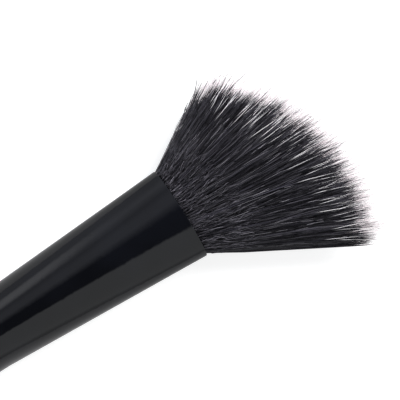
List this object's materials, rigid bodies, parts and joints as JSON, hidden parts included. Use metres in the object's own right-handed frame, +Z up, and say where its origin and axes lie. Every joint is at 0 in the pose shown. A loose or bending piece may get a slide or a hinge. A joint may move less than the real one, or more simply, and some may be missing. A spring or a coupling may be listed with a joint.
{
  "type": "bronzer brush",
  "caption": "Face powder brush with a slanted fan-shaped dark tuft and pale tips, an oval-mouthed tapered metal ferrule and a turned handle, lying on its broad side.",
  "frame": {"origin": "on the surface that the brush lies on, under the middle of its box", "axes": "+X from the handle's tail towards the tuft, +Y across the fan towards its shorter side, +Z up out of the broad side"},
  "size_m": [0.1902, 0.0516, 0.0164],
  "materials": {
    "handle_lacquer": "turned hardwood under glossy black lacquer",
    "ferrule_lacquer": "drawn aluminium under glossy black lacquer",
    "resin": "cured amber resin",
    "dark_fibre": "fine near-black synthetic hair",
    "pale_fibre": "fine off-white synthetic hair"
  },
  "bodies": {
    "root": {"handle": "handle_lacquer", "ferrule": "ferrule_lacquer", "glue_plug": "resin", "dark_bristles": "dark_fibre", "pale_bristles": "pale_fibre"}
  },
  "joints": []
}
